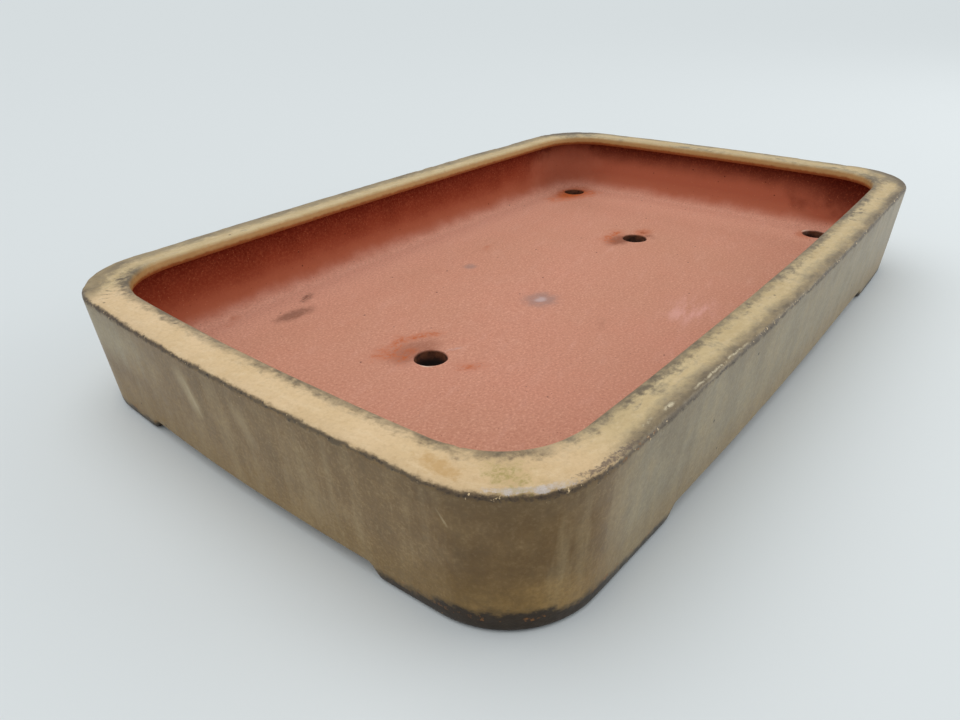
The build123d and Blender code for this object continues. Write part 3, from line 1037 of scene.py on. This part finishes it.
def worn_edge(p, colour):
    """The worn outer edge: a thin broken dark line, with whitish and rusty flecks."""
    hoar = p.band(p.frayed(0.6), EDGE_AT, EDGE_AT + 1 * MM, EDGE_AT + 2.5 * MM, EDGE_AT + 6 * MM)
    at_tip = p.spot(rim_top(-256, -162), mm(34, 34, 30))
    past_tip = p.spot(rim_top(-222, -174), mm(40, 22, 30))
    edge_area = p.ramp(p.from_edge, 3.6 * MM, 0.6 * MM)
    pale_here = p.weigh(0.18, (at_tip, 0.1), (p.front, 0.06))
    rust_here = p.spot(rim_top(-206, -177), mm(44, 16, 14))
    rust_too = p.spot(rim_top(-273, -86), mm(12, 46, 12))
    rusty = p.plus(p.times(rust_here, 0.45), p.times(rust_too, 0.25))
    rust_grain = p.plus(p.times(p.fine, 0.7), p.times(p.sand, 0.25))
    worn = p.mix(p.most(p.near_corner, p.sooty), srgb(92, 79, 62), srgb(70, 54, 40))
    frost = p.mix(p.sand, srgb(150, 142, 138), srgb(206, 198, 194))
    for strength, grain, tint, cover, soft in (
        (p.times(p.line, p.plus(0.85, p.times(p.cloud, 0.35))), p.speckle, worn, 0.88, 0.4),
        (p.times(p.line, 0.45), p.sand, srgb(48, 38, 30), 0.8, 0.2),
        (p.times(hoar, p.times(at_tip, 0.85)), p.speckle, frost, 0.85, 0.5),
        (p.times(p.times(hoar, past_tip), 0.8), p.sand, srgb(92, 76, 66), 0.8, 0.4),
        (p.times(edge_area, pale_here), p.flakes, srgb(218, 190, 146), 0.9, 0.08),
        (p.times(p.plus(edge_area, 0.1), rusty), rust_grain, srgb(156, 104, 46), 0.9, 0.2),
    ):
        colour = p.layer(colour, strength, grain, tint, cover, soft)
    return colour


def marked_rim(p, colour):
    """Marks on the rim: a tan and an olive spot, dark nicks and a fine pale crack."""
    crumbly = p.sway(p.fine, 1.4)
    tan = p.spot(rim_top(-262, -125), mm(6, 13, 6), crumbly)
    olive = p.spot(rim_top(-251, -148), mm(10, 14, 6), crumbly)
    colour = p.coats(
        colour,
        (p.times(tan, 0.6), srgb(184, 142, 80)),
        (p.times(p.times(olive, p.ramp(p.sand, 0.2, 0.7)), 0.75), srgb(152, 136, 72)),
    )
    bent = p.bent(p.blotch, p.fine, 1.4 * MM)
    broken = p.ramp(p.plus(p.sand, p.blotch), 0.75, 1.2)
    for start, end, width, tint, strength in RIM_MARKS:
        mark = p.times(p.stroke(start, end, width, bent), broken)
        colour = p.mix(p.times(mark, strength), colour, tint)
    return colour


def lip_glaze(p, colour):
    """The lip: golden glaze that ends in an orange-brown line."""
    lip = p.rise(p.frayed(0.5), NOSE_AT + 0.5 * MM, LIP_FACE_AT + 0.6 * MM)
    amber = p.rise(p.frayed(0.4), LIP_FACE_AT + 1.6 * MM, LIP_END_AT - 2.2 * MM)
    return p.coats(
        colour,
        (
            p.times(lip, p.plus(0.45, p.times(p.behind, 0.35))),
            p.mix(p.brushed, srgb(180, 136, 74), srgb(200, 162, 100)),
        ),
        (p.times(amber, 0.95), p.mix(p.fine, srgb(160, 96, 38), srgb(140, 76, 28))),
    )


def dirty_foot(p, colour):
    """Thin brown glaze and dirt low on the wall and the feet, with a rusty seam between them."""
    above_gap = p.math("GREATER_THAN", p.height, WALL_BOTTOM - 0.5 * MM)
    dirt_grain = p.plus(p.times(p.speckle, 0.8), p.times(p.blotch, 0.25))
    dirt = p.mix(p.fine, srgb(54, 43, 33), srgb(32, 26, 22))
    seam = p.band(p.plus(p.height, p.times(p.ragged, 0.5)), 5.5 * MM, 7 * MM, 8.5 * MM, 11.5 * MM)
    colour = p.layer(colour, p.times(p.low_dark, 1.4), dirt_grain, dirt, 0.95, 0.55)
    colour = p.layer(colour, p.times(p.times(seam, above_gap), 0.4), p.fine, srgb(150, 98, 50), 0.7)
    low = p.times(p.ramp(p.height, 16 * MM, 5 * MM), 0.13)
    return p.layer(colour, low, p.flakes, srgb(186, 144, 84), 0.8, 0.08)


def ash_glaze():
    """A weathered ash glaze: olive-brown on the walls, buff on the rim, worn dark along the edges."""
    p = Glaze("ash_glaze")
    colour = p.mix(p.on_rim, wall_glaze(p), rim_glaze(p))
    for change in (worn_edge, marked_rim, lip_glaze, dirty_foot):
        colour = change(p, colour)
    pits = p.specks(p.place, 15 * MM, 0.07, 0.35)
    for centre in PITS:
        pits = p.most(pits, p.spot(centre, mm(1.3, 1.3, 1.0)))
    colour = p.mix(p.times(pits, 0.85), colour, srgb(48, 38, 28))

    rough = p.ramp(p.weigh(p.fine, (p.on_rim, 0.6), (p.line, 0.5)), 0.0, 2.0, 0.34, 0.70)
    shine = p.plus(0.5, p.times(p.most(p.near_corner, p.times(p.left, 0.6)), -0.3))
    lay = p.bump(p.blotch, 0.35 * MM, strength=0.35)
    lay = p.bump(p.fine, 0.16 * MM, lay, 0.35)
    lay = p.bump(p.times(p.brushed, p.on_rim), 0.2 * MM, lay, 0.5)
    lay = p.bump(p.times(p.speckle, p.most(p.line, p.times(p.low_dark, 0.5))), 0.3 * MM, lay, 0.6)
    lay = p.bump(p.grain, 0.04 * MM, lay, 0.5)
    lay = p.bump(pits, -0.3 * MM, lay, 0.6)
    return p.done(colour, rough, shine, lay)


def hole_place(name):
    pos = next(m["pos_m"] for m in HOLES if m["name"] == name)
    return pos[0], pos[1]


def on_table(x, y):
    """A place on the floor slab seen from above, or a reach there, given in millimetres."""
    return (x * MM, y * MM)


def make_stains():
    """Rust where old tie wires lay, two pale lime spots and two dark smudges.

    A blot has a centre and its reach along X and Y; a streak has a start, an end and a width.
    """
    rust, deep_rust, bright_rust = srgb(178, 82, 22), srgb(112, 52, 24), srgb(206, 98, 30)
    lime, grey, dirt = srgb(190, 164, 160), srgb(148, 120, 112), srgb(98, 58, 38)
    made = []

    def blots(centre, *rows):
        for x, y, reach_x, reach_y, tint, strength in rows:
            place = (centre[0] + x * MM, centre[1] + y * MM)
            made.append(("blot", place, on_table(reach_x, reach_y), 0, tint, strength))

    def streaks(centre, *rows):
        for x, y, end_x, end_y, width, tint, strength in rows:
            start = (centre[0] + x * MM, centre[1] + y * MM)
            end = (centre[0] + end_x * MM, centre[1] + end_y * MM)
            made.append(("streak", start, end, width * MM, tint, strength))

    left, right = hole_place("drain_hole_left"), hole_place("drain_hole_right")
    blots(left, (0, 14, 34, 20, deep_rust, 0.45))
    streaks(
        left,
        (-18, 18, 10, 34, 7, rust, 1.0),
        (6, 32, 32, 18, 6, rust, 0.9),
        (-18, 10, 4, 16, 6, rust, 0.9),
        (-26, 24, -6, 34, 6, rust, 0.7),
        (0, -20, 14, -34, 6, rust, 0.8),
        (12, -1, 22, -5, 2.4, lime, 0.7),
    )
    blots(right, (-12, 8, 26, 15, deep_rust, 0.7))
    streaks(right, (-26, 12, 12, 24, 10, rust, 1.0), (8, -12, 22, 6, 7, deep_rust, 0.8))
    blots(right, (18, 2, 18, 12, rust, 0.4))
    back_right = hole_place("drain_hole_back_right")
    blots(back_right, (-6, 0, 38, 24, rust, 0.9))
    streaks(back_right, (-44, 4, 4, -14, 16, bright_rust, 1.0), (-8, -15, 16, -15, 14, bright_rust, 1.0))
    blots(hole_place("drain_hole_front_right"), (-6, 6, 20, 14, rust, 0.45))
    blots(
        (0, 0),
        (-3, 80, 9, 9, grey, 0.6),
        (-22, -2, 22, 20, grey, 0.65),
        (-22, -2, 8, 7, lime, 0.8),
        (-146, 119, 25, 12, dirt, 0.6),
    )
    streaks(
        (0, 0),
        (-130, 132, -114, 139, 5, dirt, 1.0),
        (-186, 140, -170, 148, 5, rust, 0.5),
        (-38, -62, -22, -52, 4, dirt, 0.3),
        (30, 92, 48, 100, 4, rust, 0.4),
    )
    return made


def make_marks():
    """Scratches and pits on the left wall, and nicks and a crack on the rim."""
    side = outer_inset(50 * MM) - LENGTH / 2
    scratches = []
    for out, y, z, end_out, end_y, end_z, width, strength in (
        (0, 33, 64, 0, 22, 40, 7, 0.4),
        (0, 28, 60, 0, 20, 36, 1.6, 0.35),
        (0, -14, 62, 0, -22, 40, 6, 0.2),
        (0, -58, 60, 0, -72, 24, 0.9, 0.55),
        (0, -52, 57, 0, -60, 36, 0.7, 0.4),
        (0, -64, 54, 0, -78, 20, 0.7, 0.4),
        (4, -127, 67, 5, -134, 54, 0.8, 0.5),
    ):
        start = (side + out * MM, y * MM, z * MM)
        end = (side + end_out * MM, end_y * MM, end_z * MM)
        scratches.append((start, end, width * MM, strength))
    pits = [
        (side + out * MM, y * MM, z * MM) for out, y, z in ((0.5, -21, 58), (3.5, -136, 53), (9, -152, 47))
    ]
    pale, dark = srgb(236, 222, 188), srgb(64, 50, 38)
    rim_marks = [
        (rim_top(x, y), rim_top(end_x, end_y), width * MM, tint, strength)
        for x, y, end_x, end_y, width, tint, strength in (
            (-158, -173.5, -128, -174.5, 0.8, pale, 0.55),
            (-134, -174, -102, -175.6, 0.7, pale, 0.55),
            (-181, -171, -172, -171.5, 1.1, pale, 0.6),
            (-196, -170, -188, -170, 0.9, pale, 0.6),
            (-263, 127, -258, 123, 0.9, dark, 0.9),
            (-258, 131, -256, 126, 0.8, dark, 0.8),
            (-266, 121, -261, 119, 0.7, dark, 0.7),
        )
    ]
    return scratches, pits, rim_marks


STAINS = make_stains()
SCRATCHES, PITS, RIM_MARKS = make_marks()


# ---------------------------------------------------------------- the pieces


def make_pieces():
    clay, glaze = bare_clay(), ash_glaze()
    names = list(RUNS)
    floor = make_floor()
    floor.data.materials.append(clay)
    finish_piece(floor, "floor_slab")

    def glazed(made, node, clay_faces=False):
        made.data.materials.append(glaze)
        if clay_faces:
            made.data.materials.append(clay)
        finish_piece(made, node)
        if clay_faces:
            layer = made.data.attributes["strip"].data
            over = np.zeros(len(layer) * 3, np.float32)
            layer.foreach_get("vector", over)
            over = over.reshape(-1, 3)[:, 2]
            for face in made.data.polygons:
                if min(over[v] for v in face.vertices) >= INNER_AT - 0.01 * MM:
                    face.material_index = 1

    for side in ("front", "back", "left", "right"):
        i = names.index(side)
        before, after = RUNS[names[i - 1]], RUNS[names[(i + 1) % len(names)]]
        path = [before.part(before.middle(), before.end), RUNS[side], after.part(after.start, after.middle())]
        glazed(make_rim(side, path), f"rim_{side}")
        glazed(make_wall(f"wall_{side}_glazed", [RUNS[side]]), f"wall_{side}", True)
        cove = make_cove(f"cove_{side}_clay", path)
        cove.data.materials.append(clay)
        finish_piece(cove, f"cove_{side}")

    for corner in ("front_left", "front_right", "back_left", "back_right"):
        glazed(make_wall(f"corner_{corner}_glazed", [RUNS[corner]]), f"corner_{corner}", True)
        i = names.index(corner)
        before, after = RUNS[names[i - 1]], RUNS[names[(i + 1) % len(names)]]
        path = [leg(before, -1), RUNS[corner], leg(after, 1)]
        glazed(make_foot(f"foot_{corner}_glazed", path), f"foot_{corner}")


def leg(run, way):
    """The part of a side that a foot lies under, before (-1) or after (1) its corner."""
    reach = LONG_LEG_END if run.radius == LONG_BOW_RADIUS else SHORT_LEG_END
    half = acos(sqrt(1 - (reach / run.radius) ** 2))
    if way < 0:
        return run.part(run.middle() + half, run.end)
    return run.part(run.start, run.middle() - half)


make_pieces()


# ---------------------------------------------------------------- camera, light and floor


def aim(thing, target, roll=0.0):
    """Points a camera or light at a place."""
    way = Vector(target) - thing.location
    turn = way.to_track_quat("-Z", "Y").to_matrix().to_4x4()
    thing.matrix_world = Matrix.Translation(thing.location) @ turn @ Matrix.Rotation(roll, 4, "Z")


def make_camera():
    data = bpy.data.cameras.new("camera")
    data.lens = 26.6
    data.sensor_width = 36
    data.clip_start = 0.01
    camera = bpy.data.objects.new("camera", data)
    bpy.context.scene.collection.objects.link(camera)
    camera.location = (-0.4067, -0.2669, 0.2259)
    aim(camera, (-0.0942, -0.0047, 0.0018), radians(-1.26))
    bpy.context.scene.camera = camera


def area_light(name, place, target, size, power, colour):
    data = bpy.data.lights.new(name, "AREA")
    data.shape = "RECTANGLE"
    data.size, data.size_y = size
    data.energy = power
    data.color = colour
    light = bpy.data.objects.new(name, data)
    bpy.context.scene.collection.objects.link(light)
    light.location = place
    aim(light, target)


def make_stage():
    mesh = bpy.data.meshes.new("floor")
    half = 60.0
    corners = [(-half, -half, 0), (half, -half, 0), (half, half, 0), (-half, half, 0)]
    mesh.from_pydata(corners, [], [(0, 1, 2, 3)])
    floor = bpy.data.objects.new("floor", mesh)
    bpy.context.scene.collection.objects.link(floor)
    p = Paint("studio_floor")
    p.shader.inputs["Base Color"].default_value = (0.70, 0.735, 0.745, 1)
    p.shader.inputs["Roughness"].default_value = 0.9
    p.shader.inputs["Specular IOR Level"].default_value = 0.0
    floor.data.materials.append(p.material)

    world = bpy.data.worlds.new("studio")
    world.use_nodes = True
    sky = world.node_tree.nodes["Background"]
    sky.inputs[0].default_value = (0.76, 0.80, 0.83, 1)
    sky.inputs[1].default_value = 0.72
    bpy.context.scene.world = world
    data = bpy.data.lights.new("overhead", "SUN")
    data.energy = 1.35
    data.angle = radians(80)
    data.color = (1.0, 0.98, 0.95)
    sun = bpy.data.objects.new("overhead", data)
    bpy.context.scene.collection.objects.link(sun)
    sun.location = (-0.2, 0.4, 1.5)
    aim(sun, (0, 0, 0))
    area_light("front", (1.1, -1.3, 0.7), (0.05, -0.1, 0.03), (1.2, 0.9), 7, (1.0, 1.0, 1.0))
    bpy.context.scene.view_settings.view_transform = "Standard"


make_camera()
make_stage()
